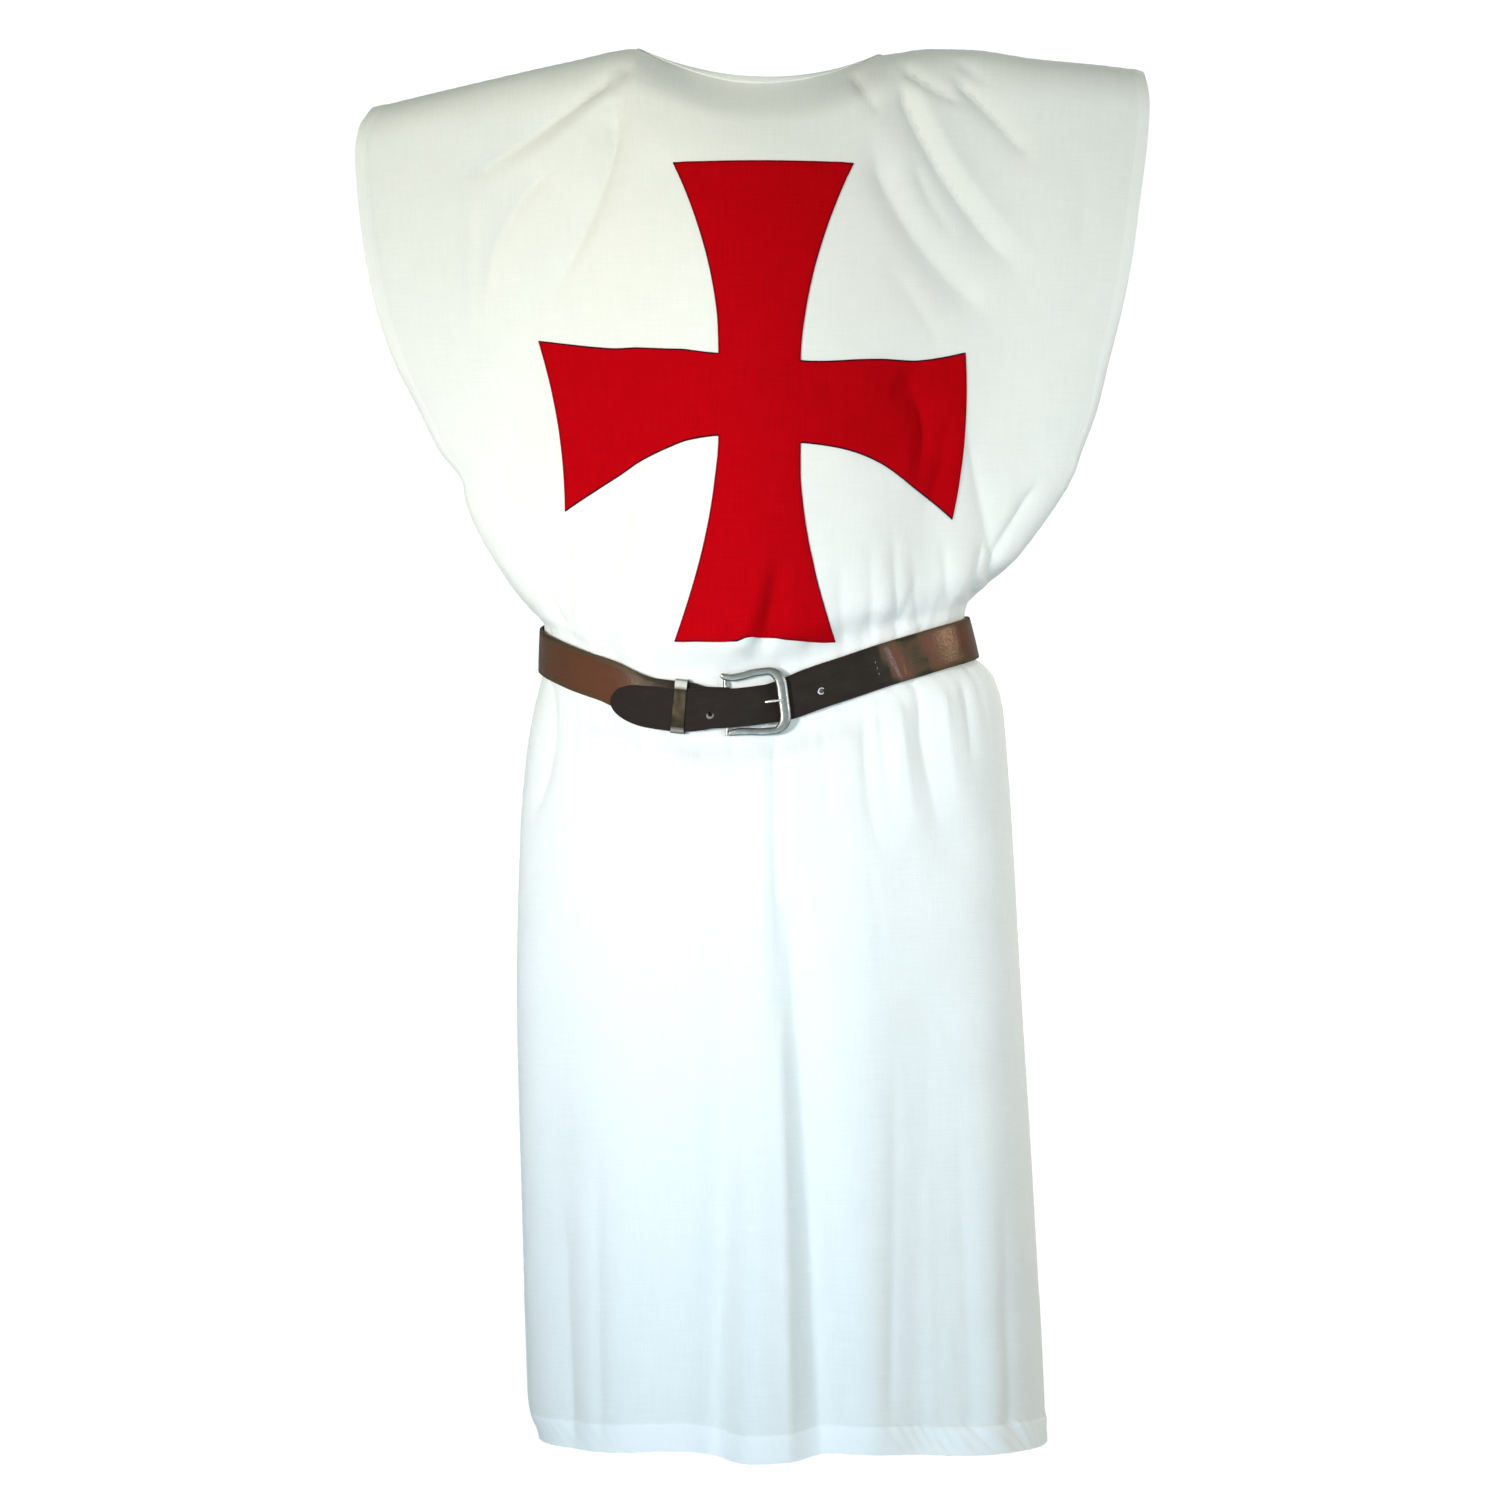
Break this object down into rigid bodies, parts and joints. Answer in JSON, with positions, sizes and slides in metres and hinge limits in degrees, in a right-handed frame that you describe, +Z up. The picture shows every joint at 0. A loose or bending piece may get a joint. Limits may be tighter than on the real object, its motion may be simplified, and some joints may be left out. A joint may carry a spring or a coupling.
{
  "type": "medieval surcoat",
  "caption": "Sleeveless knee-length cotton surcoat with wide shoulders, open armholes, a flared cross sewn on the chest and a buckled leather belt.",
  "frame": {"origin": "midway between the neck ends of the two shoulder seams, where a wearer's shoulders carry the garment", "axes": "+Z is up, the front faces -Y, and +X is the right of someone looking at the front"},
  "size_m": [0.7082, 0.3292, 1.2521],
  "materials": {
    "white_cotton": "matt plain weave",
    "red_cotton": "matt plain weave",
    "brown_leather": "smooth, waxed",
    "silver_metal": "polished, lightly worn"
  },
  "bodies": {
    "root": {"front_panel": "white_cotton", "back_panel": "white_cotton", "neck_binding_front": "white_cotton", "neck_binding_back": "white_cotton", "cross_applique": "red_cotton", "belt_strap": "brown_leather", "buckle_frame": "silver_metal", "buckle_prong": "silver_metal", "belt_keeper": "silver_metal"}
  },
  "joints": []
}
